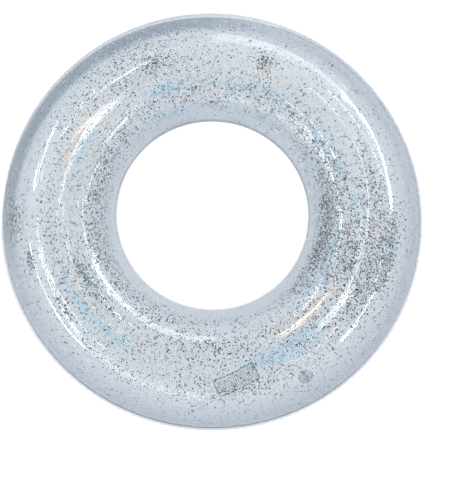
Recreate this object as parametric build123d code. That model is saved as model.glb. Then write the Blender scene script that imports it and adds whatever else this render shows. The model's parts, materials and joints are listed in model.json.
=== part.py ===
from build123d import *

import os
from math import cos, dist, hypot, radians, sin
from random import Random

# Inflatable swim ring: two annular films welded together along an outer and an inner seam, loose
# glitter in the air chamber, and a press-in valve with a tethered stopper low on the outside.
# The ring lies flat. Its axis is Z, and the floor is z = 0. Millimetres throughout.

# --- Tube -----------------------------------------------------------------------------------
RING_RADIUS = 330.0  # ring axis to tube centre
TUBE_HALF_WIDTH = 120.0
TUBE_HALF_HEIGHT = 112.4
SETTLE = 0.4  # depth by which the lowest line flattens on the floor
FILM = 0.5
CENTRE_HEIGHT = TUBE_HALF_HEIGHT - SETTLE

# --- Weld seams, at half height --------------------------------------------------------------
SEAM_HALF_THICKNESS = 0.6
OUTER_FIN = 7.0
INNER_FIN = 3.0

# --- Valve, in its own frame: x round the ring, y up the film, z out of the film ---------------
VALVE_TURN = -51.5  # degrees round the ring
VALVE_ANGLE = -50.0  # degrees round the tube, from its outermost line
FILM_HOLE_RADIUS = 10.5
FLANGE_RADIUS = 17.0
FLANGE_BORE_RADIUS = 10.0
FLANGE_THICKNESS = 0.8
DIAPHRAGM_THICKNESS = 0.7
STEM_RADIUS = 6.0
STEM_BORE_RADIUS = 4.2
STEM_INNER_END = -12.0
COLLAR_RADIUS = 6.8
COLLAR_TOP = -5.8
COLLAR_BOTTOM = -7.0
RIM_RADIUS = 7.5
RIM_BOTTOM = 1.2
MOUTH = 3.0
EDGE = 0.4  # small chamfers
BODY_GAP = 0.3  # between pieces that move apart

# --- Stopper, its strap and the non-return flap ------------------------------------------------
PLUG_HEAD_RADIUS = 7.2
PLUG_HEAD_THICKNESS = 1.8
PLUG_NECK_RADIUS = 3.9
PLUG_RIB_RADIUS = 4.1
PLUG_RIB_BOTTOM = 1.8
PLUG_RIB_TOP = 2.4
PLUG_TIP_RADIUS = 2.6
PLUG_TIP = -3.0
TAB_HALF_WIDTH = 3.5
TAB_LENGTH = 6.0
TAB_THICKNESS = 1.4
STRAP_HALF_WIDTH = 2.0
STRAP_THICKNESS = 0.7
STRAP_BEND_Y = 10.2
STRAP_BEND_RADIUS = 1.4
STRAP_START_RADIUS = RIM_RADIUS + BODY_GAP
PLUG_HINGE_HEIGHT = MOUTH + 0.15
FLAP_RADIUS = 5.2
FLAP_THICKNESS = 0.7
FLAP_NECK_HALF_WIDTH = 2.0
FLAP_HINGE_Y = 6.0

# --- Blank printed panel on the upper film ------------------------------------------------------
PANEL_TURN = -75.0
PANEL_ANGLE = 78.0
PANEL_TILT = 19.0  # degrees, from round the ring towards the hole
PANEL_LENGTH = 90.0
PANEL_WIDTH = 38.0
PANEL_CORNER = 4.0
PANEL_THICKNESS = 0.2

# --- Glitter: hexagonal flakes against the inside of each film ---------------------------------
FLAKE_THICKNESS = 0.15
FLAKE_CLEARANCE = 0.8
FLAKES_PER_NODE = 64
FLAKE_RADIUS = {"fine": 1.2, "holographic": 1.7, "coarse": 2.3}
FLAKE_ARC = {"upper": (12.0, 168.0), "lower": (-168.0, -12.0)}
KEEP_OFF_VALVE = 34.0
GLITTER_SEED = 20


def on_skin(turn, angle, inset=0.0):
    """A place on the tube's skin, or inset inside it, with x round the ring and z out of the tube."""
    turn = radians(turn)
    angle = radians(angle)
    out_radial = cos(angle) / TUBE_HALF_WIDTH
    out_up = sin(angle) / TUBE_HALF_HEIGHT
    size = hypot(out_radial, out_up)
    out_radial /= size
    out_up /= size
    radius = RING_RADIUS + TUBE_HALF_WIDTH * cos(angle) - inset * out_radial
    height = CENTRE_HEIGHT + TUBE_HALF_HEIGHT * sin(angle) - inset * out_up
    plane = Plane(
        origin=(radius * cos(turn), radius * sin(turn), height),
        x_dir=(-sin(turn), cos(turn), 0),
        z_dir=(out_radial * cos(turn), out_radial * sin(turn), out_up),
    )
    return plane.location


VALVE = on_skin(VALVE_TURN, VALVE_ANGLE)


def level_band(low, high):
    """The part of a radial section that lies between two heights."""
    return Pos(RING_RADIUS, (low + high) / 2) * Rectangle(4 * TUBE_HALF_WIDTH, high - low)


def tube_section(inset):
    """The tube's radial section, inset inside its skin and flat where it meets the floor."""
    oval = Ellipse(TUBE_HALF_WIDTH - inset, TUBE_HALF_HEIGHT - inset)
    return Pos(RING_RADIUS, CENTRE_HEIGHT) * oval & level_band(inset, 4 * TUBE_HALF_HEIGHT)


def film_section():
    return tube_section(0) - tube_section(FILM)


def coat_section(thickness):
    """A sheet of this thickness lying on the tube's skin."""
    return tube_section(-thickness) - tube_section(0)


def spun(section):
    """The solid that a radial section makes round the ring's axis."""
    return revolve(Plane.XZ * section, Axis.Z)


def turned(points):
    """The round solid of a closed outline of (radius, height) points, in the valve's frame."""
    return revolve(Plane.XZ * make_face(Polyline(points, close=True)), Axis.Z)


def ribbon(points, thickness):
    """A closed outline of even thickness along a run of points."""
    left = []
    right = []
    for i, (x, y) in enumerate(points):
        before = points[max(i - 1, 0)]
        after = points[min(i + 1, len(points) - 1)]
        run = dist(before, after)
        across_x = (before[1] - after[1]) / run * thickness / 2
        across_y = (after[0] - before[0]) / run * thickness / 2
        left.append((x + across_x, y + across_y))
        right.append((x - across_x, y - across_y))
    return left + right[::-1]


def film_top():
    return spun(film_section() & level_band(CENTRE_HEIGHT + SEAM_HALF_THICKNESS, 4 * CENTRE_HEIGHT))


def film_bottom():
    lower_half = spun(film_section() & level_band(0, CENTRE_HEIGHT - SEAM_HALF_THICKNESS))
    return lower_half - VALVE * Cylinder(FILM_HOLE_RADIUS, 2 * FLANGE_RADIUS)


def seam(inner_radius, outer_radius):
    """A flat band at half height, where the two films are welded."""
    band = Rectangle(outer_radius - inner_radius, 2 * SEAM_HALF_THICKNESS)
    return spun(Pos((inner_radius + outer_radius) / 2, CENTRE_HEIGHT) * band)


def seam_outer():
    edge = RING_RADIUS + TUBE_HALF_WIDTH
    return seam(edge - FILM, edge + OUTER_FIN)


def seam_inner():
    edge = RING_RADIUS - TUBE_HALF_WIDTH
    return seam(edge - INNER_FIN, edge + FILM)


def blank_panel():
    """A thin blank panel with rounded corners, lying on the upper film."""
    outline = RectangleRounded(PANEL_LENGTH, PANEL_WIDTH, PANEL_CORNER)
    block = extrude(outline, PANEL_WIDTH / 2, both=True)
    place = on_skin(PANEL_TURN, PANEL_ANGLE) * Rot(0, 0, PANEL_TILT)
    return spun(coat_section(PANEL_THICKNESS)) & place * block


def valve_flange():
    """The base ring of the valve, welded onto the film round its hole."""
    disc = Cylinder(FLANGE_RADIUS, FLANGE_RADIUS) - Cylinder(FLANGE_BORE_RADIUS, FLANGE_RADIUS)
    return spun(coat_section(FLANGE_THICKNESS)) & VALVE * disc


def valve_diaphragm():
    """The soft cup that hangs the stem in the flange and lets it be pressed in or pulled out."""
    lip = FLANGE_BORE_RADIUS - 0.05 - DIAPHRAGM_THICKNESS / 2
    centre_line = [
        (lip, 0.2),
        (lip, -1.6),
        (lip - 0.3, -3.6),
        (lip - 1.0, -5.2),
        (lip - 1.8, -6.35),
        (COLLAR_RADIUS + BODY_GAP, -6.4),
    ]
    return VALVE * turned(ribbon(centre_line, DIAPHRAGM_THICKNESS))


def valve_stem():
    """The mouthpiece tube, with a bite rim at its mouth and a collar that the diaphragm grips."""
    outline = [
        (STEM_BORE_RADIUS, STEM_INNER_END),
        (STEM_BORE_RADIUS, MOUTH - EDGE),
        (STEM_BORE_RADIUS + EDGE, MOUTH),
        (RIM_RADIUS - EDGE, MOUTH),
        (RIM_RADIUS, MOUTH - EDGE),
        (RIM_RADIUS, RIM_BOTTOM + EDGE),
        (RIM_RADIUS - EDGE, RIM_BOTTOM),
        (STEM_RADIUS, RIM_BOTTOM),
        (STEM_RADIUS, COLLAR_TOP),
        (COLLAR_RADIUS, COLLAR_TOP),
        (COLLAR_RADIUS, COLLAR_BOTTOM),
        (STEM_RADIUS, COLLAR_BOTTOM),
        (STEM_RADIUS, STEM_INNER_END),
    ]
    return VALVE * turned(outline)


def valve_flap():
    """The non-return flap that closes the stem's inner end, with the neck that it swings on."""
    neck = Pos(0, FLAP_HINGE_Y / 2) * Rectangle(2 * FLAP_NECK_HALF_WIDTH, FLAP_HINGE_Y)
    top = STEM_INNER_END - BODY_GAP
    return VALVE * Pos(0, 0, top - FLAP_THICKNESS) * extrude(Circle(FLAP_RADIUS) + neck, FLAP_THICKNESS)


def valve_plug():
    """The stopper: a tapered nose with a sealing rib, a flat head and a pull tab."""
    head_bottom = MOUTH + BODY_GAP
    head_top = head_bottom + PLUG_HEAD_THICKNESS
    outline = [
        (0, PLUG_TIP),
        (PLUG_TIP_RADIUS, PLUG_TIP),
        (PLUG_NECK_RADIUS, PLUG_RIB_BOTTOM - 0.2),
        (PLUG_RIB_RADIUS, PLUG_RIB_BOTTOM),
        (PLUG_RIB_RADIUS, PLUG_RIB_TOP),
        (PLUG_NECK_RADIUS, PLUG_RIB_TOP + 0.2),
        (PLUG_NECK_RADIUS, head_bottom),
        (PLUG_HEAD_RADIUS, head_bottom),
        (PLUG_HEAD_RADIUS, head_top - EDGE),
        (PLUG_HEAD_RADIUS - EDGE, head_top),
        (0, head_top),
    ]
    tab_end = PLUG_HEAD_RADIUS + TAB_LENGTH - TAB_HALF_WIDTH
    tab_start = PLUG_HEAD_RADIUS / 2
    tab = Pos(0, -(tab_start + tab_end) / 2) * Rectangle(2 * TAB_HALF_WIDTH, tab_end - tab_start)
    tab += Pos(0, -tab_end) * Circle(TAB_HALF_WIDTH)
    tab_bottom = head_bottom + (PLUG_HEAD_THICKNESS - TAB_THICKNESS) / 2
    return VALVE * (turned(outline) + Pos(0, 0, tab_bottom) * extrude(tab, TAB_THICKNESS))


def plug_strap():
    """The strap that keeps the stopper on the stem: a U whose bend is the stopper's hinge."""

    def slot(radius):
        bend = Pos(STRAP_BEND_Y, PLUG_HINGE_HEIGHT) * Circle(radius)
        limbs = Pos(STRAP_BEND_Y / 2, PLUG_HINGE_HEIGHT) * Rectangle(STRAP_BEND_Y, 2 * radius)
        return bend + limbs

    section = slot(STRAP_BEND_RADIUS) - slot(STRAP_BEND_RADIUS - STRAP_THICKNESS)
    strap = extrude(Plane.YZ * section, STRAP_HALF_WIDTH, both=True)
    lower = Pos(0, 0, PLUG_HINGE_HEIGHT - 5) * Cylinder(STRAP_START_RADIUS, 10)
    upper = Pos(0, 0, PLUG_HINGE_HEIGHT + 5) * Cylinder(PLUG_HEAD_RADIUS, 10)
    return VALVE * (strap - lower - upper)


def flake_places(rng, arc, radius, taken):
    """Random places just inside the skin, clear of the valve and of each other."""
    valve_centre = tuple(VALVE.position)
    inset = FILM + FLAKE_CLEARANCE + FLAKE_THICKNESS
    places = []
    while len(places) < FLAKES_PER_NODE:
        place = on_skin(rng.uniform(-180, 180), rng.uniform(*arc), inset)
        centre = tuple(place.position)
        clear = all(dist(centre, other) > radius + size + 1 for other, size in taken)
        if clear and dist(centre, valve_centre) > KEEP_OFF_VALVE:
            taken.append((centre, radius))
            places.append(place * Rot(0, 0, rng.uniform(0, 60)))
    return places


def glitter(rng, arc, radius, taken):
    """One kind of flake on one film: separate hexagons, as a group."""
    flake = extrude(RegularPolygon(radius, 6), FLAKE_THICKNESS)
    return Compound([place * flake for place in flake_places(rng, arc, radius, taken)])


def write_parts():
    os.makedirs("parts", exist_ok=True)
    pieces = [
        film_top,
        film_bottom,
        seam_outer,
        seam_inner,
        blank_panel,
        valve_flange,
        valve_diaphragm,
        valve_stem,
        valve_flap,
        valve_plug,
        plug_strap,
    ]
    for piece in pieces:
        export_step(piece(), f"parts/{piece.__name__}.step")
    rng = Random(GLITTER_SEED)
    taken = []
    for side, arc in FLAKE_ARC.items():
        for kind, radius in FLAKE_RADIUS.items():
            export_step(glitter(rng, arc, radius, taken), f"parts/glitter_{kind}_{side}.step")


write_parts()
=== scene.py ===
import json
from math import cos, pi, radians, sin, tau

import bmesh
import bpy
import numpy as np
from mathutils import Matrix, Vector


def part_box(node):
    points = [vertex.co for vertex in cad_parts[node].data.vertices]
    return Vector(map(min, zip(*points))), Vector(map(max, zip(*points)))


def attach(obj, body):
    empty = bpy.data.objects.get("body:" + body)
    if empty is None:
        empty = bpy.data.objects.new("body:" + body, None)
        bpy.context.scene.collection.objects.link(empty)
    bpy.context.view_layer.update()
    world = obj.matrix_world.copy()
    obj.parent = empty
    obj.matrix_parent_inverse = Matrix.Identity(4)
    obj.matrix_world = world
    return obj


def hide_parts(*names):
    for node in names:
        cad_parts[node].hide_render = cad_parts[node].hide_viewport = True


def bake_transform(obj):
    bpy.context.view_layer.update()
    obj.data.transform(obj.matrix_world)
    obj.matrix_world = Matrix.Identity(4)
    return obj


# A clear inflatable swim ring with loose glitter inside. Metres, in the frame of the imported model.

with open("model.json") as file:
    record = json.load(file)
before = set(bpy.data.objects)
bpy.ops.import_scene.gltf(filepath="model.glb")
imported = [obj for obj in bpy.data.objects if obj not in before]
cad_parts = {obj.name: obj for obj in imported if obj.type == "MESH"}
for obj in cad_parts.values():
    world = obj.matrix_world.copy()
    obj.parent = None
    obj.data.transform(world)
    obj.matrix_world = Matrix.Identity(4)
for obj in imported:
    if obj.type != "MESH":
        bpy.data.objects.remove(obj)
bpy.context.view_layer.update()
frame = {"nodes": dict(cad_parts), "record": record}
MM = 0.001

# --- The tube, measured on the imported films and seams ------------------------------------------
FILM = 0.5 * MM
OUTER_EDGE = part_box("film_bottom")[1][0]
HOLE_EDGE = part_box("seam_inner")[1][0] - FILM
RING_RADIUS = (OUTER_EDGE + HOLE_EDGE) / 2
HALF_WIDTH = (OUTER_EDGE - HOLE_EDGE) / 2
CENTRE_HEIGHT = (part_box("seam_outer")[0][2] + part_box("seam_outer")[1][2]) / 2
HALF_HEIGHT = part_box("film_top")[1][2] - CENTRE_HEIGHT
SEAM_HALF = (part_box("seam_outer")[1][2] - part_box("seam_outer")[0][2]) / 2
OUTER_FIN_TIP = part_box("seam_outer")[1][0]
INNER_FIN = 3 * MM

# --- The valve's frame, from its joints ----------------------------------------------------------
JOINTS = {joint["name"]: joint for joint in frame["record"]["behaviour"]["joints"]}
OUTWARD = Vector(JOINTS["stem_slide"]["axis"])
ROUND_RING = -Vector(JOINTS["plug_flip"]["axis"])
UP_FILM = OUTWARD.cross(ROUND_RING)
STRAP_HINGE = (11 * MM, 3.15 * MM)  # from the valve's centre, up the film and outward
VALVE_CENTRE = Vector(JOINTS["plug_flip"]["pos_m"]) - STRAP_HINGE[0] * UP_FILM - STRAP_HINGE[1] * OUTWARD
VALVE = Matrix.Translation(VALVE_CENTRE) @ Matrix((ROUND_RING, UP_FILM, OUTWARD)).transposed().to_4x4()
VALVE_TURN = np.arctan2(VALVE_CENTRE.y, VALVE_CENTRE.x)
VALVE_RADIUS = np.hypot(VALVE_CENTRE.x, VALVE_CENTRE.y)
VALVE_UP = (VALVE_CENTRE.z - CENTRE_HEIGHT) / HALF_HEIGHT
VALVE_OUT = (VALVE_RADIUS - RING_RADIUS) / HALF_WIDTH
VALVE_ANGLE = np.arctan2(VALVE_UP, VALVE_OUT)

# --- The printed panel on the upper film ---------------------------------------------------------
PANEL_LENGTH = 90 * MM
PANEL_WIDTH = 38 * MM
PANEL_CORNER = 4 * MM
PANEL_THICKNESS = 0.2 * MM
PANEL_GAP = 0.03 * MM
PANEL_TURN = radians(-75)
PANEL_ANGLE = radians(78)
PANEL_TILT = radians(19)
BORDER_IN = 2.0 * MM
BORDER_HALF_WIDTH = 0.6 * MM
DOT_STEP = 2.4 * MM
DOT_RADIUS = 1.0 * MM
DOTS_IN = 6.5 * MM

# --- The main view -------------------------------------------------------------------------------
VIEW_ELEVATION = 80
VIEW_ROLL = 8
VIEW_DISTANCE = 5.31 * RING_RADIUS
LENS = 58.2
SHIFT = (0.0395, -0.0735)


def waves(seed, turns, count, low, high):
    """A smooth random curve round the ring, about -1 to 1, made of whole waves."""
    rng = np.random.default_rng(seed)
    total = np.zeros_like(turns)
    for _ in range(count):
        total += np.sin(rng.integers(low, high) * turns + rng.uniform(0, tau))
    return total / np.sqrt(2 * count)


# ==================================================================================================
# Shape of the skin
# ==================================================================================================
NEAR_SIDE = radians(-75)
PUCKER_HEIGHT = 0.9 * MM
INNER_PUCKER_HEIGHT = 0.25 * MM
SWELL_HEIGHT = 0.8 * MM
SMOOTH_NEAR_VALVE = 19 * MM
SMOOTH_FADE = 14 * MM
CREASE_HALF_WIDTH = 2.6 * MM / HALF_WIDTH
# Lengthwise creases in the upper film: first and last turn round the ring, first and last angle
# round the tube (0 at the outer seam, 90 on the crest, 180 at the hole) and height in millimetres.
UPPER_CREASES = [
    (-172, -128, 121, 114, 0.6),
    (-177, -157, 117, 109, 0.4),
    (-155, -107, 94, 97, 0.4),
    (-152, -110, 97, 94, 0.3),
    (-164, -90, 74, 76, 0.5),
    (-161, -126, 42, 42, 0.5),
    (-119, -54, 103, 106, 0.4),
    (-67, -16, 92, 87, 0.4),
    (-35, -15, 150, 153, 0.6),
    (-25, -2, 119, 125, 0.6),
    (-55, -49, 57, 57, 0.5),
    (-35, -26, 79, 78, 0.5),
    (-20, -5, 97, 94, 0.4),
    (9, 22, 116, 116, 0.5),
    (21, 62, 130, 133, 0.6),
    (62, 107, 133, 133, 0.5),
    (13, 60, 75, 83, 0.5),
    (60, 110, 84, 83, 0.4),
    (110, 164, 84, 71, 0.6),
    (136, 151, 62, 58, 0.5),
    (125, 167, 110, 106, 0.5),
    (132, 174, 105, 90, 0.4),
    (144, 151, 118, 118, 0.5),
    (151, 170, 126, 127, 0.6),
    (167, 190, 140, 138, 0.5),
    (31, 70, 108, 107, 0.3),
    (31, 70, 103, 106, 0.3),
    (85, 170, 98, 94, 0.35),
    (176, 190, 79, 81, 0.6),
]
LOWER_CREASES = [
    (-150, -60, -62, -70, 0.5),
    (-40, 30, -118, -110, 0.5),
    (20, 110, -66, -58, 0.5),
    (60, 150, -124, -116, 0.5),
    (120, 200, -52, -60, 0.5),
    (150, 230, -135, -128, 0.5),
]


def away_from(turns, middle):
    """How far each turn lies from a middle one, the short way round."""
    return (turns - middle + pi) % tau - pi


def creases(turns, angles, lines):
    """Height of the lengthwise creases, each fading out at its two ends."""
    total = np.zeros_like(turns)
    for first, last, low, high, height in lines:
        half_run = radians(last - first) / 2
        along = away_from(turns, radians(first + last) / 2) / half_run
        line = radians(low + high) / 2 + radians(high - low) / 2 * np.clip(along, -1, 1)
        fade = np.clip((1 - np.abs(along)) * 4, 0, 1)
        total += height * MM * fade * np.exp(-(((angles - line) / CREASE_HALF_WIDTH) ** 2))
    return total


def pucker_strength(turns):
    """How strongly the film gathers along the outer seam: most on the near side."""
    near = 0.5 + 0.5 * np.cos(turns - NEAR_SIDE)
    return (0.25 + 0.75 * near) * (0.7 + 0.3 * waves(3, turns, 5, 2, 9))


def relief(turns, angles):
    """How far the inflated film stands off a true oval tube, in metres."""
    from_outer = np.abs(angles)
    gathers = waves(11, turns, 6, 70, 118) * np.exp(-((from_outer / radians(11)) ** 2))
    folds = waves(12, turns, 5, 40, 80) * np.exp(-(((from_outer - radians(16)) / radians(13)) ** 2))
    from_hole = pi - from_outer
    inner = waves(13, turns, 5, 30, 60) * np.exp(-((from_hole / radians(10)) ** 2))
    swell = waves(14, turns, 4, 2, 6) * np.sin(angles) ** 2
    puckers = PUCKER_HEIGHT * pucker_strength(turns) * (gathers + 0.6 * folds)
    return puckers + INNER_PUCKER_HEIGHT * inner + SWELL_HEIGHT * swell


def skin(turns, angles, inset=0.0, creased=True):
    """Points on the film, or inset inside it, and the outward directions there."""
    out_radial = np.cos(angles) / HALF_WIDTH
    out_up = np.sin(angles) / HALF_HEIGHT
    size = np.hypot(out_radial, out_up)
    out_radial = out_radial / size
    out_up = out_up / size
    flat = plain_skin(turns, angles)
    from_valve = np.linalg.norm(flat - np.array(VALVE_CENTRE), axis=-1)
    smooth_patch = np.clip((from_valve - SMOOTH_NEAR_VALVE) / SMOOTH_FADE, 0, 1)
    stand_off = relief(turns, angles) * np.clip(np.abs(np.sin(angles)) * 12, 0, 1)
    if creased:
        stand_off = stand_off + creases(turns, angles, UPPER_CREASES + LOWER_CREASES)
    stand_off = stand_off * smooth_patch - inset
    outward = np.stack([out_radial * np.cos(turns), out_radial * np.sin(turns), out_up], -1)
    points = flat + stand_off[..., None] * outward
    points[..., 2] = np.maximum(points[..., 2], inset)
    return points, outward


def plain_skin(turns, angles):
    """Points on a true oval tube."""
    radius = RING_RADIUS + HALF_WIDTH * np.cos(angles)
    height = CENTRE_HEIGHT + HALF_HEIGHT * np.sin(angles)
    return np.stack([radius * np.cos(turns), radius * np.sin(turns), height], -1)


def add_piece(name, mesh, node, material, smooth=True):
    """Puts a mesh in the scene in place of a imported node, and hides that node."""
    obj = bpy.data.objects.new(name, mesh)
    bpy.context.scene.collection.objects.link(obj)
    mesh.materials.append(material)
    if smooth:
        mesh.shade_smooth()
    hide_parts(node)
    return obj


def ring_mesh(name, rows):
    """A closed mesh from rows of points, each a loop round the ring: the last row meets the first."""
    rows = np.array(rows)
    count, around = rows.shape[:2]
    index = np.arange(count * around).reshape(count, around)
    ahead = np.roll(index, -1, 1)
    quads = np.stack([index, ahead, np.roll(ahead, -1, 0), np.roll(index, -1, 0)], -1)
    mesh = quick_mesh(name, rows.reshape(-1, 3), quads.ravel(), np.full(count * around, 4))
    outward_faces(mesh)
    return mesh


def quick_mesh(name, points, loops, sizes):
    """A mesh from arrays: its points, the points of each face in turn, and each face's number of points."""
    mesh = bpy.data.meshes.new(name)
    mesh.vertices.add(len(points))
    mesh.vertices.foreach_set("co", points.astype(np.float32).ravel())
    mesh.loops.add(len(loops))
    mesh.loops.foreach_set("vertex_index", loops.astype(np.int32))
    mesh.polygons.add(len(sizes))
    starts = np.concatenate([[0], np.cumsum(sizes)[:-1]])
    mesh.polygons.foreach_set("loop_start", starts.astype(np.int32))
    mesh.update(calc_edges=True)
    mesh.validate()
    return mesh


def outward_faces(mesh):
    """Turns the faces of a closed mesh outwards."""
    work = bmesh.new()
    work.from_mesh(mesh)
    bmesh.ops.recalc_face_normals(work, faces=work.faces)
    work.to_mesh(mesh)
    work.free()


# ==================================================================================================
# Materials
# ==================================================================================================
def fill_ramp(color_ramp, stops):
    """Gives a new colour ramp its stops, each (place, colour)."""
    elements = color_ramp.elements
    for element, (place, colour) in zip(elements, stops[:2]):
        element.position = place
        element.color = colour
    for place, colour in stops[2:]:
        elements.new(place).color = colour


class Nodes:
    """A small helper to write node trees as expressions."""

    def __init__(self, name):
        self.material = bpy.data.materials.new(name)
        self.material.use_nodes = True
        self.tree = self.material.node_tree
        self.tree.nodes.clear()

    def add(self, kind, inputs=None, **settings):
        node = self.tree.nodes.new(kind)
        for key, value in settings.items():
            setattr(node, key, value)
        for key, value in (inputs or {}).items():
            self.feed(node.inputs[key], value)
        return node

    def feed(self, socket, value):
        if isinstance(value, bpy.types.NodeSocket):
            self.tree.links.new(value, socket)
        else:
            socket.default_value = value

    def maths(self, operation, *values):
        node = self.add("ShaderNodeMath", operation=operation)
        for socket, value in zip(node.inputs, values):
            self.feed(socket, value)
        return node.outputs[0]

    def smooth_step(self, value, low, high):
        limits = {"Value": value, "From Min": low, "From Max": high, "To Min": 0.0, "To Max": 1.0}
        return self.add("ShaderNodeMapRange", limits, interpolation_type="SMOOTHSTEP").outputs[0]

    def mix_colour(self, share, first, second):
        node = self.add("ShaderNodeMix", data_type="RGBA")
        self.feed(node.inputs["Factor"], share)
        self.feed(node.inputs[6], first)
        self.feed(node.inputs[7], second)
        return node.outputs[2]

    def ramp(self, value, *stops):
        node = self.add("ShaderNodeValToRGB", {"Fac": value})
        fill_ramp(node.color_ramp, stops)
        return node.outputs["Color"]

    def noise(self, vector, scale, detail=3.0, roughness=0.5):
        inputs = {"Vector": vector, "Scale": scale, "Detail": detail, "Roughness": roughness}
        return self.add("ShaderNodeTexNoise", inputs).outputs["Fac"]

    def place(self):
        return self.add("ShaderNodeTexCoord").outputs["Object"]

    def from_axis(self, x, y):
        """How far a place lies from the ring's axis."""
        square = self.maths("ADD", self.maths("MULTIPLY", x, x), self.maths("MULTIPLY", y, y))
        return self.maths("SQRT", square)

    def along_tube(self, round_ring, round_tube):
        """A coordinate that changes slowly round the ring and fast round the tube, with no join."""
        x, y, z = self.add("ShaderNodeSeparateXYZ", {"Vector": self.place()}).outputs
        radius = self.from_axis(x, y)
        up = self.maths("SUBTRACT", z, CENTRE_HEIGHT)
        out = self.maths("SUBTRACT", radius, RING_RADIUS)
        angle = self.maths("ARCTAN2", up, out)
        unit_x = self.maths("DIVIDE", x, radius)
        unit_y = self.maths("DIVIDE", y, radius)
        parts = {
            "X": self.maths("MULTIPLY", unit_x, round_ring),
            "Y": self.maths("MULTIPLY", unit_y, round_ring),
            "Z": self.maths("MULTIPLY", angle, round_tube),
        }
        return self.add("ShaderNodeCombineXYZ", parts).outputs[0]

    def bump(self, height, strength, distance, under=None):
        inputs = {"Height": height, "Strength": strength, "Distance": distance}
        if under is not None:
            inputs["Normal"] = under
        return self.add("ShaderNodeBump", inputs).outputs[0]

    def mix(self, share, first, second):
        node = self.add("ShaderNodeMixShader")
        self.feed(node.inputs[0], share)
        self.feed(node.inputs[1], first)
        self.feed(node.inputs[2], second)
        return node.outputs[0]

    def finish(self, surface):
        self.add("ShaderNodeOutputMaterial", {"Surface": surface})
        return self.material


MIRRORED_FACE_ON = 0.04
MIRRORED_EDGE_ON = 0.35
LEAST_COSINE = 0.6  # the film never counts as seen through more than 1 / 0.6 of its thickness


def clear_vinyl(name, tint, haze, haze_colour, gloss_roughness, bump_height, depth_and_painted_shade=None):
    """Thin clear film: it tints what is behind it, more where it is seen edge on, and mirrors a little."""
    n = Nodes(name)
    normal = bump_height(n)
    # Films and seams deepen their tint by place here, as painted shade.
    depth = depth_and_painted_shade(n) if depth_and_painted_shade else 1.0
    facing = n.add("ShaderNodeLayerWeight", {"Blend": 0.5, "Normal": normal}).outputs["Facing"]
    slant = n.maths("DIVIDE", 1.0, n.maths("MAXIMUM", n.maths("SUBTRACT", 1.0, facing), LEAST_COSINE))
    grazing = n.maths("MULTIPLY", n.maths("POWER", facing, 5.0), MIRRORED_EDGE_ON)
    mirrored = n.maths("ADD", MIRRORED_FACE_ON, grazing)
    crossed = n.maths("MULTIPLY", slant, depth)
    seen_through = n.add("ShaderNodeGamma", {"Color": (*tint, 1), "Gamma": crossed}).outputs[0]
    through = n.add("ShaderNodeBsdfTransparent", {"Color": seen_through}).outputs[0]
    milky = n.add("ShaderNodeBsdfDiffuse", {"Color": (*haze_colour, 1)}).outputs[0]
    clouding = n.noise(n.place(), 14.0, 4.0)
    share = n.maths("MULTIPLY", n.maths("ADD", 0.5, clouding), n.maths("MULTIPLY", slant, haze))
    body = n.mix(share, through, milky)
    gloss = n.add("ShaderNodeBsdfGlossy", {"Roughness": gloss_roughness, "Normal": normal}).outputs[0]
    return n.finish(n.mix(mirrored, body, gloss))


def film_bump(n):
    """Faint ripples that run lengthwise in the blown-up film."""
    ripples = n.noise(n.along_tube(1.6, 9.0), 1.0, 2.0, 0.5)
    fine = n.noise(n.along_tube(5.0, 45.0), 1.0, 1.0, 0.5)
    return n.bump(fine, 0.08, 0.3 * MM, n.bump(ripples, 0.22, 3 * MM))


def weld_bump(n):
    """A fine cell print, standing in for the mark that a welding tool leaves along a seam."""
    place = n.place()
    hatch = n.add("ShaderNodeTexVoronoi", {"Vector": place, "Scale": 700.0}, feature="SMOOTH_F1").outputs[0]
    return n.bump(hatch, 0.4, 0.4 * MM)


# Chosen for the main view: a lower film that tints more than the upper keeps the flakes between them
# distinct. On the object both films are taken to be the same vinyl.
UPPER_TINT = (0.962, 0.969, 0.976)
LOWER_TINT = (0.858, 0.879, 0.899)
# Painted shade: the films' tint deepens towards the outer edge and most at the far left, for a darker rim.
DEEPER_FROM = OUTER_EDGE - 50 * MM
DEEPER_TO = OUTER_EDGE - 3 * MM
EDGE_FROM = OUTER_EDGE - 14 * MM
EDGE_TO = OUTER_EDGE - 5 * MM
FAR_LEFT = 145  # degrees anticlockwise from +X
FAR_LEFT_FROM = 0.18
FAR_LEFT_TO = 0.40
BAND_PAINTED_SHADE = 0.3
EDGE_PAINTED_SHADE = 0.3
FAR_LEFT_PAINTED_SHADE = 1.6


def film_depth_with_painted_shade(n):
    """How much deeper the tint is near the outer edge, and most of all at the far left: painted shade for
    the darker rim.
    """
    x, y, _ = n.add("ShaderNodeSeparateXYZ", {"Vector": n.place()}).outputs
    radius = n.from_axis(x, y)
    outer = n.smooth_step(radius, DEEPER_FROM, DEEPER_TO)
    edge = n.smooth_step(radius, EDGE_FROM, EDGE_TO)
    away = toward(FAR_LEFT, 0)
    along = n.maths("ADD", n.maths("MULTIPLY", x, away.x), n.maths("MULTIPLY", y, away.y))
    far_left = n.smooth_step(along, FAR_LEFT_FROM, FAR_LEFT_TO)
    extra = n.maths("ADD", n.maths("MULTIPLY", far_left, FAR_LEFT_PAINTED_SHADE), EDGE_PAINTED_SHADE)
    band = n.maths("ADD", 1.0, n.maths("MULTIPLY", outer, BAND_PAINTED_SHADE))
    return n.maths("ADD", band, n.maths("MULTIPLY", edge, extra))


def film_material(name, tint):
    haze_colour = (0.82, 0.84, 0.88)
    return clear_vinyl(name, tint, 0.03, haze_colour, 0.04, film_bump, film_depth_with_painted_shade)


# Painted shade: a dark line along the seam's root, drawn as deeper tint.
WELD_ROOT = OUTER_EDGE + 1.2 * MM
ROOT_PAINTED_SHADE_DEPTH = 4.5
FIN_DEPTH = 1.0


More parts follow.
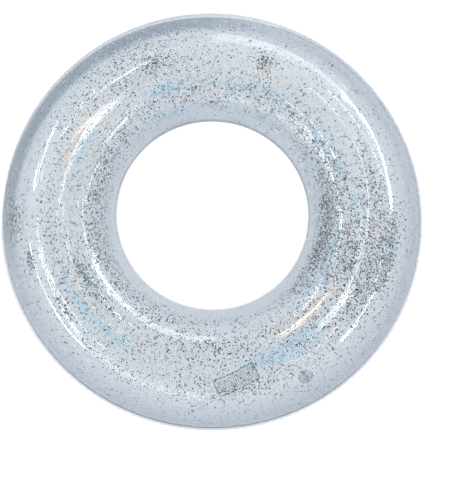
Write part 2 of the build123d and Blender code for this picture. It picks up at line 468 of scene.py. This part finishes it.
def seam_depth_with_painted_shade(n):
    """The tint is much deeper along a narrow line at the weld's root: painted shade for the dark line where
    the tube meets its seam.
    """
    x, y, _ = n.add("ShaderNodeSeparateXYZ", {"Vector": n.place()}).outputs
    radius = n.from_axis(x, y)
    off_root = n.maths("ABSOLUTE", n.maths("SUBTRACT", radius, WELD_ROOT))
    from_root = n.smooth_step(off_root, 0.4 * MM, 1.6 * MM)
    return n.maths("SUBTRACT", ROOT_PAINTED_SHADE_DEPTH, n.maths("MULTIPLY", from_root, ROOT_PAINTED_SHADE_DEPTH - FIN_DEPTH))


def seam_material():
    tint = (0.83, 0.85, 0.875)
    haze_colour = (0.84, 0.87, 0.92)
    return clear_vinyl("seam_vinyl", tint, 0.1, haze_colour, 0.12, weld_bump, seam_depth_with_painted_shade)


def valve_material():
    tint = (0.88, 0.89, 0.92)
    haze_colour = (0.84, 0.86, 0.9)
    return clear_vinyl("fitting_vinyl", tint, 0.12, haze_colour, 0.12, weld_bump)


def panel_material():
    """A printed border round a plain grid of dots, on clear film."""
    n = Nodes("printed_ink")
    across, up, _ = n.add("ShaderNodeSeparateXYZ", {"Vector": n.add("ShaderNodeUVMap").outputs[0]}).outputs
    from_side = n.maths("SUBTRACT", PANEL_LENGTH / 2, n.maths("ABSOLUTE", across))
    from_end = n.maths("SUBTRACT", PANEL_WIDTH / 2, n.maths("ABSOLUTE", up))
    from_edge = n.maths("MINIMUM", from_side, from_end)
    border = n.maths("COMPARE", from_edge, BORDER_IN, BORDER_HALF_WIDTH)
    step_across = n.maths("PINGPONG", across, DOT_STEP)
    step_up = n.maths("PINGPONG", up, DOT_STEP)
    square = n.maths("ADD", n.maths("POWER", step_across, 2.0), n.maths("POWER", step_up, 2.0))
    dot = n.maths("LESS_THAN", square, DOT_RADIUS**2)
    inside = n.maths("GREATER_THAN", from_edge, DOTS_IN)
    printed = n.maths("MAXIMUM", border, n.maths("MULTIPLY", dot, inside))
    worn = n.maths("ADD", 0.45, n.maths("MULTIPLY", n.noise(n.place(), 160.0, 3.0), 0.5))
    ink_share = n.maths("ADD", n.maths("MULTIPLY", printed, worn), 0.05)
    inputs = {"Base Color": (0.09, 0.09, 0.10, 1), "Roughness": 0.5}
    ink = n.add("ShaderNodeBsdfPrincipled", inputs).outputs[0]
    clear = n.add("ShaderNodeBsdfTransparent").outputs[0]
    return n.finish(n.mix(ink_share, clear, ink))


SCRATCHED_FLAKE = (0.5, 0.52, 0.55, 1)
# Painted shade: near black for flakes that would mirror the dark parts of the studio.
PAINTED_SHADE_FLAKE = (0.012, 0.016, 0.026, 1)


def flake_material(name, metal, roughness, painted_shade_share, *hues):
    """Metallised flakes: each has its own tone, and the hue it was given where it lies. A share of them,
    picked by tone, is painted near black as painted shade.
    """
    n = Nodes(name)
    tone = n.add("ShaderNodeAttribute", attribute_name="tone").outputs["Fac"]
    hue = n.ramp(n.add("ShaderNodeAttribute", attribute_name="hue").outputs["Fac"], *hues)
    scratches = n.noise(n.place(), 1500.0, 2.0)
    worn = n.mix_colour(n.maths("MULTIPLY", scratches, 0.3), hue, SCRATCHED_FLAKE)
    # Flakes whose tone lies under the share are painted near black: painted shade.
    painted_shade_pick = n.maths("LESS_THAN", tone, painted_shade_share)
    colour = n.mix_colour(painted_shade_pick, worn, PAINTED_SHADE_FLAKE)
    inputs = {"Base Color": colour, "Metallic": metal, "Roughness": roughness}
    return n.finish(n.add("ShaderNodeBsdfPrincipled", inputs).outputs[0])


# What a flake's hue number means: blue, cyan, pale cyan, white, cream and orange.
RAINBOW = [
    (0.02, (0.50, 0.66, 1.00, 1)),
    (0.20, (0.42, 0.92, 1.00, 1)),
    (0.38, (0.78, 1.00, 1.00, 1)),
    (0.58, (1.00, 1.00, 0.98, 1)),
    (0.75, (1.00, 0.95, 0.66, 1)),
    (0.92, (1.00, 0.74, 0.60, 1)),
]
# Silver flakes read the hue number as lightness, so they are painted lighter towards the warm places, as
# painted highlight, and darker towards the cool ones.
GREYS = [(0.3, (0.45, 0.47, 0.5, 1)), (0.7, (0.95, 0.95, 0.96, 1))]
FLAKE_ROUGHNESS = 0.25


def silver_material():
    return flake_material("silver_flakes", 0.3, FLAKE_ROUGHNESS, 0.62, *GREYS)


def holographic_material():
    return flake_material("holographic_flakes", 0.1, FLAKE_ROUGHNESS, 0.06, *RAINBOW)


# ==================================================================================================
# Films and seams
# ==================================================================================================
AROUND = 480
VALVE_HOLE_RADIUS = 10.3 * MM
CUTTER_DEPTH = 14 * MM
TURNS = np.arange(AROUND) / AROUND * tau
SEAM_ANGLE = SEAM_HALF / HALF_HEIGHT
OUTER_ROWS = [(0, 12, 7), (12, 36, 8), (36, 156, 126), (156, 170, 5), (170, 180, 6)]
INNER_ROWS = [(0, 12, 6), (12, 168, 34), (168, 180, 5)]


def row_angles(spans):
    """Angles round half of the tube from the outer seam to the inner, in spans of (from, to, rows)."""
    rows = np.concatenate([np.linspace(low, high, count, endpoint=False) for low, high, count in spans])
    return np.append(np.clip(np.radians(rows), SEAM_ANGLE, None), pi - SEAM_ANGLE)


def film(side):
    """Half of the tube as a closed thin shell: side is 1 for the upper film and -1 for the lower."""
    outer = [skin(TURNS, np.full(AROUND, side * a))[0] for a in row_angles(OUTER_ROWS)]
    inner = [skin(TURNS, np.full(AROUND, side * a), FILM, creased=False)[0] for a in row_angles(INNER_ROWS)]
    return ring_mesh("film", outer + inner[::-1])


def cut_valve_hole(obj, radius):
    """A clean round hole through the lower film for the valve."""
    cutter_mesh = bpy.data.meshes.new("cutter")
    work = bmesh.new()
    size = {"radius1": radius, "radius2": radius, "depth": CUTTER_DEPTH}
    bmesh.ops.create_cone(work, cap_ends=True, segments=64, matrix=VALVE, **size)
    work.to_mesh(cutter_mesh)
    work.free()
    cutter = bpy.data.objects.new("cutter", cutter_mesh)
    bpy.context.scene.collection.objects.link(cutter)
    cut = obj.modifiers.new("hole", "BOOLEAN")
    cut.object = cutter
    cut.operation = "DIFFERENCE"
    cut.solver = "EXACT"
    evaluated = obj.evaluated_get(bpy.context.evaluated_depsgraph_get())
    result = bpy.data.meshes.new_from_object(evaluated)
    obj.modifiers.clear()
    obj.data = result
    bpy.data.objects.remove(cutter)


def fin_mesh(start, tip, wave, scallop, droop):
    """A weld seam: a flat band that waves a little towards its free edge, and hangs where it droops."""
    around = 3 * AROUND
    turns = np.arange(around) / around * tau
    hang = droop(turns)
    rows = []
    steps = np.linspace(0, 1, 6)
    for side, order in ((1, steps), (-1, steps[::-1])):
        for step in order:
            run = (tip - start - scallop(turns)) * step
            thickness = side * SEAM_HALF * (1 - 0.35 * step**2)
            radius = start + run * np.cos(hang) + thickness * np.sin(hang)
            drop = abs(run) * np.sin(hang) - thickness * np.cos(hang)
            height = CENTRE_HEIGHT + wave(turns) * step**1.5 - drop
            rows.append(np.stack([radius * np.cos(turns), radius * np.sin(turns), height], -1))
    return ring_mesh("fin", rows)


def outer_wave(turns):
    return 2.0 * MM * pucker_strength(turns) * waves(11, turns, 6, 150, 230)


def outer_scallop(turns):
    return 1.8 * MM * pucker_strength(turns) * (0.5 + 0.6 * waves(21, turns, 6, 140, 240))


def outer_droop(turns):
    far = np.clip((np.cos(turns - radians(132)) - 0.35) / 0.35, 0, 1)
    return radians(60) * far * far * (3 - 2 * far) + radians(6)


def inner_droop(turns):
    return radians(4) * waves(24, turns, 4, 2, 6)


def inner_wave(turns):
    return 0.3 * MM * waves(22, turns, 5, 60, 120)


def inner_scallop(turns):
    return -0.3 * MM * (0.5 + 0.5 * waves(23, turns, 4, 40, 90))


def add_films():
    upper = add_piece("upper_film", film(1), "film_top", film_material("upper_vinyl", UPPER_TINT))
    lower = add_piece("lower_film", film(-1), "film_bottom", film_material("lower_vinyl", LOWER_TINT))
    cut_valve_hole(lower, VALVE_HOLE_RADIUS)
    lower.data.shade_smooth()
    weld = seam_material()
    outer_mesh = fin_mesh(OUTER_EDGE - FILM, OUTER_FIN_TIP, outer_wave, outer_scallop, outer_droop)
    inner_mesh = fin_mesh(HOLE_EDGE + FILM, HOLE_EDGE - INNER_FIN, inner_wave, inner_scallop, inner_droop)
    outer = add_piece("outer_seam", outer_mesh, "seam_outer", weld)
    inner = add_piece("inner_seam", inner_mesh, "seam_inner", weld)
    for piece in (upper, lower):
        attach(piece, "ring")
    for piece in (outer, inner):
        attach(piece, "ring")


# ==================================================================================================
# Glitter
# ==================================================================================================
# Drifts of flakes: turn round the ring, angle round the tube, spread of each, and how thick it lies.
# Angles are 0 at the outer seam, 90 on the crest or on the floor, and 180 at the hole.
UPPER_DRIFTS = [
    (-155, 132, 24, 10, 1.1),
    (165, 138, 20, 9, 0.9),
    (-4, 141, 26, 11, 2.3),
    (-2, 118, 26, 12, 0.8),
    (-8, 90, 20, 10, 0.7),
    (-10, 72, 13, 8, 2.3),
    (-12, 105, 10, 10, 0.9),
    (78, 95, 3, 8, 2.6),
    (121, 92, 4, 7, 2.0),
    (-140, 106, 9, 6, 1.8),
    (-168, 43, 5, 13, 2.0),
    (-155, 61, 3, 4, 2.4),
    (-137, 73, 4, 4, 1.2),
    (98, 147, 3, 3, 2.4),
    (-110, 132, 30, 12, 0.5),
    (-85, 112, 25, 10, 0.5),
    (-75, 70, 15, 10, 0.5),
    (50, 125, 40, 14, 0.45),
    (110, 128, 30, 12, 0.5),
    (130, 72, 18, 10, 0.45),
    (20, 92, 15, 8, 0.6),
    (-30, 95, 25, 15, 0.6),
    (-150, 88, 30, 9, 0.35),
]
LOWER_DRIFTS = [
    (118, 150, 13, 9, 1.3),
    (84, 146, 5, 5, 1.2),
    (-80, 62, 80, 12, 0.35),
    (125, 58, 25, 14, 0.9),
    (-5, 60, 20, 12, 0.9),
    (-4, 140, 30, 13, 1.1),
    (180, 135, 30, 13, 0.9),
    (30, 118, 60, 15, 0.6),
    (-90, 100, 60, 18, 0.4),
    (150, 95, 40, 18, 0.4),
]
COOL_PLACES = [
    (-130, 87, 22, 7, 1.3),
    (-58, 88, 14, 6, 1.6),
    (-15, 127, 20, 9, 1.4),
    (80, 122, 22, 9, 1.2),
    (120, 121, 12, 8, 1.8),
    (35, 122, 16, 8, 1.2),
    (-40, 95, 22, 4, 1.2),
    (-8, 72, 12, 9, 0.8),
    (-140, 106, 10, 6, 1.0),
    (168, 108, 16, 9, 1.0),
    (10, 108, 16, 8, 0.8),
]
# Warm places lie on the broad highlight streaks: the cream given to holographic flakes there is partly their
# own colour and partly painted highlight.
WARM_AND_PAINTED_GLINT_PLACES = [
    (-42, 107, 14, 5, 2.0),
    (162, 97, 13, 5, 2.0),
    (75, 106, 6, 5, 1.2),
    (-5, 88, 7, 4, 1.0),
    (-142, 100, 9, 3, 1.2),
    (-130, 95, 24, 3, 0.8),
    (25, 104, 14, 5, 0.8),
    (100, 104, 20, 5, 0.5),
]
THIN_EVERYWHERE = 0.075
FLAKE_THICKNESS = 0.08 * MM
FLAKE_CLEARANCE = 0.3 * MM
CLEAR_OF_VALVE = 24 * MM


def nearness(turns, angles, places):
    """Sum of soft spots, each (turn, angle, spread of each, strength) in degrees."""
    total = np.zeros_like(turns)
    for turn, angle, wide, across, much in places:
        near = (away_from(turns, radians(turn)) / radians(wide)) ** 2
        near += ((angles - radians(angle)) / radians(across)) ** 2
        total += much * np.exp(-near)
    return total


def drift_density(turns, angles, drifts):
    """How thick the flakes lie, with small clumps and bare patches, and bare near both seams."""
    clumps = 0.7 + 0.55 * waves(31, turns, 6, 12, 60) * waves(32, angles * 5, 4, 2, 7)
    off_hole = np.clip((pi - angles - radians(24)) / radians(12), 0.02, 1)
    off_outer = np.clip((angles - radians(8)) / radians(12), 0, 1)
    lying = nearness(turns, angles, drifts) + THIN_EVERYWHERE
    return lying * np.clip(clumps, 0.08, 1.6) * (off_hole * off_outer)


def scatter(rng, count, drifts, side):
    """Random places on the inside of one film, thick where the drifts are."""
    turns = np.empty(0)
    angles = np.empty(0)
    while len(turns) < count:
        t = rng.uniform(-pi, pi, 4 * count)
        a = rng.uniform(radians(9), radians(171), 4 * count)
        area = 1 + HALF_WIDTH / RING_RADIUS * np.cos(a)
        kept = rng.uniform(0, 2.5, 4 * count) < drift_density(t, a, drifts) * area
        kept &= np.linalg.norm(plain_skin(t, side * a) - np.array(VALVE_CENTRE), axis=1) > CLEAR_OF_VALVE
        turns = np.append(turns, t[kept])
        angles = np.append(angles, a[kept])
    return turns[:count], angles[:count]


def flakes_mesh(name, rng, count, smallest, largest, drifts, side):
    """Loose hexagonal flakes lying near the inside of one film, each a little tilted."""
    turns, angles = scatter(rng, count, drifts, side)
    # Colour leans warm, and silver lighter, on the highlight streaks: partly painted highlight.
    lean_to_warm_and_painted_glint = nearness(turns, angles, WARM_AND_PAINTED_GLINT_PLACES) - nearness(turns, angles, COOL_PLACES)
    hues = 0.5 + 0.34 * np.clip(lean_to_warm_and_painted_glint, -1, 1) + rng.normal(0, 0.10, count)
    angles = side * angles
    size = smallest + (largest - smallest) * rng.beta(2.0, 2.4, count)
    tilt = np.abs(rng.normal(0, radians(9), count)).clip(0, radians(28))
    inset = FILM + FLAKE_CLEARANCE + size * np.sin(tilt)
    centre, outward = skin(turns, angles, inset)
    lean = rng.normal(size=(count, 3))
    lean -= (lean * outward).sum(1)[:, None] * outward
    lean /= np.linalg.norm(lean, axis=1)[:, None]
    up = outward * np.cos(tilt)[:, None] + lean * np.sin(tilt)[:, None]
    side_way = np.cross(up, lean)
    side_way /= np.linalg.norm(side_way, axis=1)[:, None]
    front = np.cross(side_way, up)
    corners = np.arange(6) / 6 * tau
    spin = rng.uniform(0, tau, count)[:, None] + corners
    rim = side_way[:, None] * np.cos(spin)[..., None] + front[:, None] * np.sin(spin)[..., None]
    rim = rim * size[:, None, None]
    half = up[:, None] * FLAKE_THICKNESS / 2
    points = np.concatenate([centre[:, None] + rim + half, centre[:, None] + rim - half], 1)
    sides = [(k, (k + 1) % 6, (k + 1) % 6 + 6, k + 6) for k in range(6)]
    loops = np.concatenate([np.arange(5, -1, -1), np.arange(6, 12), np.ravel(sides)])
    sizes = np.array([6, 6] + [4] * 6)
    first = np.arange(count)[:, None] * 12
    mesh = quick_mesh(name, points.reshape(-1, 3), (first + loops).ravel(), np.tile(sizes, count))
    give_each_flake(mesh, "tone", rng.uniform(0, 1, count))
    give_each_flake(mesh, "hue", hues.clip(0, 1))
    return mesh


def give_each_flake(mesh, name, values):
    """One number for each flake, for its material to read."""
    attribute = mesh.attributes.new(name, "FLOAT", "POINT")
    attribute.data.foreach_set("value", np.repeat(values, 12).astype(np.float32))


def add_glitter():
    """Three kinds of flake under each film: (number, smallest and largest radius, places it favours)."""
    silver = silver_material()
    holographic = holographic_material()
    shining = COOL_PLACES + WARM_AND_PAINTED_GLINT_PLACES
    groups = [
        ("fine_glitter_upper", "glitter_fine_upper", 9900, 0.9, 1.4, UPPER_DRIFTS, 1, silver),
        ("coarse_glitter_upper", "glitter_coarse_upper", 5500, 1.3, 2.4, UPPER_DRIFTS, 1, silver),
        ("holographic_glitter_upper", "glitter_holographic_upper", 9900, 1.0, 1.6, shining, 1, holographic),
        ("fine_glitter_lower", "glitter_fine_lower", 9500, 0.8, 1.2, LOWER_DRIFTS, -1, silver),
        ("coarse_glitter_lower", "glitter_coarse_lower", 2500, 1.1, 2.1, LOWER_DRIFTS, -1, silver),
        ("holographic_glitter_lower", "glitter_holographic_lower", 8000, 0.9, 1.5, shining, -1, holographic),
    ]
    for k, (name, node, count, smallest, largest, drifts, side, material) in enumerate(groups):
        rng = np.random.default_rng(70 + k)
        mesh = flakes_mesh(name, rng, count, smallest * MM, largest * MM, drifts, side)
        outward_faces(mesh)
        piece = add_piece(name, mesh, node, material, smooth=False)
        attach(piece, "ring")


# ==================================================================================================
# Valve
# ==================================================================================================
def valve_mesh(name, rows, closed_rows=True):
    """A mesh from loops of points in the valve's frame, in millimetres, moved into place."""
    rows = np.array(rows) * MM
    count, around = rows.shape[:2]
    work = bmesh.new()
    grid = [[work.verts.new(VALVE @ Vector(p)) for p in row] for row in rows]
    last = count if closed_rows else count - 1
    for i in range(last):
        for j in range(around):
            a, b = grid[i], grid[(i + 1) % count]
            work.faces.new((a[j], a[(j + 1) % around], b[(j + 1) % around], b[j]))
    if not closed_rows:
        work.faces.new(grid[0])
        work.faces.new(grid[-1])
    bmesh.ops.recalc_face_normals(work, faces=work.faces)
    mesh = bpy.data.meshes.new(name)
    work.to_mesh(mesh)
    work.free()
    return mesh


def round_rows(outline, around=96):
    """Loops round the valve's axis through each (radius, height) point of an outline."""
    turns = np.arange(around) / around * tau
    return [np.stack([r * np.cos(turns), r * np.sin(turns), np.full(around, h)], -1) for r, h in outline]


def smooth_line(points, steps):
    """Even steps along a smooth curve through a few (radius, height) points."""
    points = np.array(points, float)
    places = np.linspace(0, len(points) - 1, steps)
    padded = np.vstack([2 * points[0] - points[1], points, 2 * points[-1] - points[-2]])
    line = []
    for place in places:
        i = min(int(place), len(points) - 2)
        t = place - i
        p0, p1, p2, p3 = padded[i : i + 4]
        bend = 2 * p0 - 5 * p1 + 4 * p2 - p3
        twist = 3 * p1 - p0 - 3 * p2 + p3
        line.append(0.5 * (2 * p1 + (p2 - p0) * t + bend * t**2 + twist * t**3))
    return np.array(line)


def band(line, thickness):
    """A closed outline of even thickness along a line."""
    run = np.gradient(line, axis=0)
    run /= np.linalg.norm(run, axis=1)[:, None]
    across = np.stack([-run[:, 1], run[:, 0]], -1) * thickness / 2
    return np.vstack([line + across, (line - across)[::-1]])


def film_point(x, y, lift):
    """Points over the film at places given in the valve's frame, lifted off it."""
    turns = VALVE_TURN + x / VALVE_RADIUS
    angles = VALVE_ANGLE + y / HALF_WIDTH
    for _ in range(6):
        points, outward = skin(turns, angles)
        local = (points - np.array(VALVE_CENTRE)) @ np.array(VALVE.to_3x3())
        turns = turns + (x - local[..., 0]) / VALVE_RADIUS
        angles = angles + (y - local[..., 1]) / HALF_WIDTH
    return points + lift[..., None] * outward


WELD_RIDGES = (12.4, 13.7, 15.0)
FLANGE_AROUND = 128


def flange_mesh():
    """The valve's base: a disc welded round the hole, with three raised weld rings and a thin edge."""
    top = [(10.0, 0.5), (10.1, 0.85), (10.8, 0.85), (11.2, 0.7)]
    for ridge in WELD_RIDGES:
        top += [(ridge - 0.5, 0.7), (ridge - 0.25, 0.9), (ridge + 0.25, 0.9), (ridge + 0.5, 0.7)]
    top += [(16.6, 0.6), (17.0, 0.3)]
    outline = np.array(top + [(17.0, 0.02), (10.0, 0.02)]) * MM
    turns = np.arange(FLANGE_AROUND) / FLANGE_AROUND * tau
    rows = []
    for radius, lift in outline:
        rows.append(film_point(radius * np.cos(turns), radius * np.sin(turns), np.full(FLANGE_AROUND, lift)))
    return ring_mesh("flange", rows)


# The soft parts of the valve, in millimetres in its frame: up the film or from the axis, and outward.
SOFT_THICKNESS = 0.7
CUP_LINE = [(9.6, 0.4), (9.6, -1.4), (9.35, -3.4), (8.6, -5.2), (7.6, -6.25), (6.95, -6.4)]
CUP_STEPS = 22
STRAP_ROOT = 2.1
STRAP_LOOP_RADIUS = 1.05
STRAP_LOOP_AT = 10.2
STRAP_HALF_WIDTH = 2.0


def diaphragm_mesh():
    cup_line = smooth_line(CUP_LINE, CUP_STEPS)
    return valve_mesh("cup", round_rows(band(cup_line, SOFT_THICKNESS)))


def strap_mesh():
    """A flat strap from the stem's rim, over in a loop, to the stopper."""
    middle = STRAP_ROOT + STRAP_LOOP_RADIUS
    over = STRAP_ROOT + 2 * STRAP_LOOP_RADIUS
    line = [(7.3, STRAP_ROOT), (8.6, STRAP_ROOT), (STRAP_LOOP_AT, STRAP_ROOT)]
    for a in np.linspace(0.25, pi - 0.25, 9):
        line.append((STRAP_LOOP_AT + STRAP_LOOP_RADIUS * sin(a), middle - STRAP_LOOP_RADIUS * cos(a)))
    line += [(STRAP_LOOP_AT, over), (8.6, over), (6.9, over)]
    outline = band(np.array(line), SOFT_THICKNESS)
    stations = np.array([-1, -0.95, -0.5, 0, 0.5, 0.95, 1]) * STRAP_HALF_WIDTH
    rows = [[(x, y, z) for y, z in outline] for x in stations]
    return valve_mesh("strap", rows, closed_rows=False)


def add_valve():
    vinyl = valve_material()
    cup = add_piece("diaphragm", diaphragm_mesh(), "valve_diaphragm", vinyl)
    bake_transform(cup)

    strap = add_piece("stopper_strap", strap_mesh(), "plug_strap", vinyl)
    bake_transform(strap)

    flange = add_piece("valve_base", flange_mesh(), "valve_flange", vinyl)
    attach(flange, "ring")

    for node in ("valve_stem", "valve_flap", "valve_plug"):
        for place in frame["nodes"][node].material_slots:
            place.material = vinyl


# ==================================================================================================
# Blank panel
# ==================================================================================================
def panel_points(x, y, lift):
    """Points over the film at places given in the panel's own axes."""
    round_ring = x * cos(PANEL_TILT) - y * sin(PANEL_TILT)
    up_film = x * sin(PANEL_TILT) + y * cos(PANEL_TILT)
    angles = PANEL_ANGLE + up_film / HALF_WIDTH
    turns = PANEL_TURN + round_ring / (RING_RADIUS + HALF_WIDTH * np.cos(angles))
    return skin(turns, angles, -lift)[0]


def add_panel():
    """A thin patch with rounded corners that follows the film."""
    columns, rows = 61, 27
    u, v = np.meshgrid(np.linspace(-1, 1, columns), np.linspace(-1, 1, rows))
    x = u * PANEL_LENGTH / 2
    y = v * PANEL_WIDTH / 2
    over = np.maximum(np.abs(x) - (PANEL_LENGTH / 2 - PANEL_CORNER), 0)
    shortened = PANEL_CORNER - np.sqrt(np.maximum(PANEL_CORNER**2 - over**2, 0))
    y = y * (1 - shortened / (PANEL_WIDTH / 2))
    top = panel_points(x, y, PANEL_GAP + PANEL_THICKNESS).reshape(-1, 3)
    bottom = panel_points(x, y, PANEL_GAP).reshape(-1, 3)
    index = np.arange(columns * rows).reshape(rows, columns)
    quads = np.stack([index[:-1, :-1], index[:-1, 1:], index[1:, 1:], index[1:, :-1]], -1).reshape(-1, 4)
    rim = np.concatenate([index[0], index[1:, -1], index[-1, -2::-1], index[-2:0:-1, 0]])
    ahead = np.roll(rim, -1)
    below = columns * rows
    sides = np.stack([rim, rim + below, ahead + below, ahead], -1)
    faces = np.concatenate([quads, quads[:, ::-1] + below, sides])
    mesh = quick_mesh("panel", np.concatenate([top, bottom]), faces.ravel(), np.full(len(faces), 4))
    outward_faces(mesh)
    places = np.tile(np.stack([x.ravel(), y.ravel()], -1), (2, 1))
    corners = np.empty(len(mesh.loops), np.int32)
    mesh.loops.foreach_get("vertex_index", corners)
    mesh.uv_layers.new(name="panel").data.foreach_set("uv", places[corners].astype(np.float32).ravel())
    piece = add_piece("printed_panel", mesh, "blank_panel", panel_material())
    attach(piece, "ring")


# ==================================================================================================
# Floor, light and camera
# ==================================================================================================
def toward(turn, elevation):
    """A unit direction: turn anticlockwise from +X, elevation above level, in degrees."""
    turn = radians(turn)
    elevation = radians(elevation)
    return Vector((cos(elevation) * cos(turn), cos(elevation) * sin(turn), sin(elevation)))


FLOOR_REACH = 12.0
FLOOR_GAP = 0.5 * MM


def add_floor():
    """A plain pale floor. Most of its brightness is its own glow, so the ring hardly shadows it."""
    n = Nodes("pale_floor")
    grain = n.noise(n.place(), 3.0)
    colour = n.mix_colour(grain, (0.3, 0.3, 0.3, 1), (0.31, 0.31, 0.31, 1))
    paper = n.add("ShaderNodeBsdfDiffuse", {"Color": colour}).outputs[0]
    glow = n.add("ShaderNodeEmission", {"Color": (1, 1, 1, 1), "Strength": 0.78}).outputs[0]
    both = n.add("ShaderNodeAddShader", {0: paper, 1: glow}).outputs[0]
    mesh = bpy.data.meshes.new("floor")
    corners = [(-1, -1), (1, -1), (1, 1), (-1, 1)]
    mesh.from_pydata([(x * FLOOR_REACH, y * FLOOR_REACH, 0) for x, y in corners], [], [(0, 1, 2, 3)])
    floor = bpy.data.objects.new("floor", mesh)
    bpy.context.scene.collection.objects.link(floor)
    mesh.materials.append(n.finish(both))
    floor.location.z = -FLOOR_GAP


SOFTBOX_DISTANCE = 3.0


def add_softbox(name, turn, elevation, width, height, radiance, colour):
    """A rectangular soft light that faces the ring, its width level."""
    light = bpy.data.lights.new(name, "AREA")
    light.shape = "RECTANGLE"
    light.size = width
    light.size_y = height
    light.energy = radiance * pi * width * height
    light.color = colour
    obj = bpy.data.objects.new(name, light)
    bpy.context.scene.collection.objects.link(obj)
    away = toward(turn, elevation)
    level = toward(turn + 90, 0)
    turned = Matrix((level, away.cross(level), away)).transposed().to_4x4()
    obj.matrix_world = Matrix.Translation(Vector((0, 0, CENTRE_HEIGHT)) + SOFTBOX_DISTANCE * away) @ turned


WHITE = (1.0, 1.0, 1.0)
WARM_WHITE = (1.0, 0.96, 0.88)
# Name, turn and elevation in degrees, width and height in metres, radiance and colour. Each strip
# draws one arc on the outer slope nearest it and one on the inner slope across the hole.
SOFTBOXES = [
    ("strip_far_right", 38, 42, 1.6, 0.2, 15, WHITE),
    ("panel_far", 75, 38, 1.8, 0.7, 3.2, WHITE),
    ("strip_near_left", 210, 33, 1.8, 0.16, 14, WHITE),
    ("strip_near_left_high", 215, 56, 1.2, 0.12, 14, WHITE),
    ("strip_far_left", 160, 40, 0.9, 0.12, 16, WHITE),
    ("strip_right", -20, 40, 0.9, 0.12, 16, WHITE),
    ("overhead_broad", 41, 80.4, 0.62, 0.24, 5, WARM_WHITE),
    ("overhead_far", 67, 80.5, 0.12, 0.1, 8, WARM_WHITE),
    ("overhead_right", 18, 77.6, 0.2, 0.12, 8, WHITE),
    ("overhead_far_left", 120, 64, 0.4, 0.16, 9, WARM_WHITE),
]
# The studio from the floor (0) to straight overhead (1): brightest a little above level.
SKY = [
    (0.0, (0.95, 0.97, 1.0, 1)),
    (0.6, (1.0, 1.02, 1.06, 1)),
    (0.85, (0.75, 0.77, 0.8, 1)),
    (0.98, (0.6, 0.61, 0.64, 1)),
]


def add_lights():
    for softbox in SOFTBOXES:
        add_softbox(*softbox)


def add_world():
    world = bpy.data.worlds.new("studio")
    bpy.context.scene.world = world
    world.use_nodes = True
    tree = world.node_tree
    background = tree.nodes["Background"]
    coordinate = tree.nodes.new("ShaderNodeTexCoord")
    split = tree.nodes.new("ShaderNodeSeparateXYZ")
    ramp = tree.nodes.new("ShaderNodeValToRGB")
    tree.links.new(coordinate.outputs["Generated"], split.inputs[0])
    tree.links.new(split.outputs["Z"], ramp.inputs[0])
    tree.links.new(ramp.outputs[0], background.inputs[0])
    fill_ramp(ramp.color_ramp, SKY)


def add_camera():
    """Looks at the ring's centre from high on the near side, turned a little about the line of sight."""
    back = toward(-90, VIEW_ELEVATION)
    right = Vector((1, 0, 0))
    up = back.cross(right)
    roll = radians(VIEW_ROLL)
    rolled_right = cos(roll) * right + sin(roll) * up
    rolled_up = cos(roll) * up - sin(roll) * right
    data = bpy.data.cameras.new("camera")
    data.lens = LENS
    data.shift_x, data.shift_y = SHIFT
    camera = bpy.data.objects.new("camera", data)
    bpy.context.scene.collection.objects.link(camera)
    turned = Matrix((rolled_right, rolled_up, back)).transposed().to_4x4()
    camera.matrix_world = Matrix.Translation(Vector((0, 0, CENTRE_HEIGHT)) + VIEW_DISTANCE * back) @ turned
    bpy.context.scene.camera = camera


def set_up_view():
    """Plain colours, enough depth for many clear layers, and a denoiser that keeps small flakes sharp."""
    scene = bpy.context.scene
    scene.view_settings.view_transform = "Standard"
    scene.cycles.transparent_max_bounces = 32
    scene.cycles.max_bounces = 8
    scene.cycles.use_denoising = True
    scene.cycles.denoising_input_passes = "RGB"


set_up_view()
add_films()
add_glitter()
add_valve()
add_panel()
add_floor()
add_lights()
add_world()
add_camera()
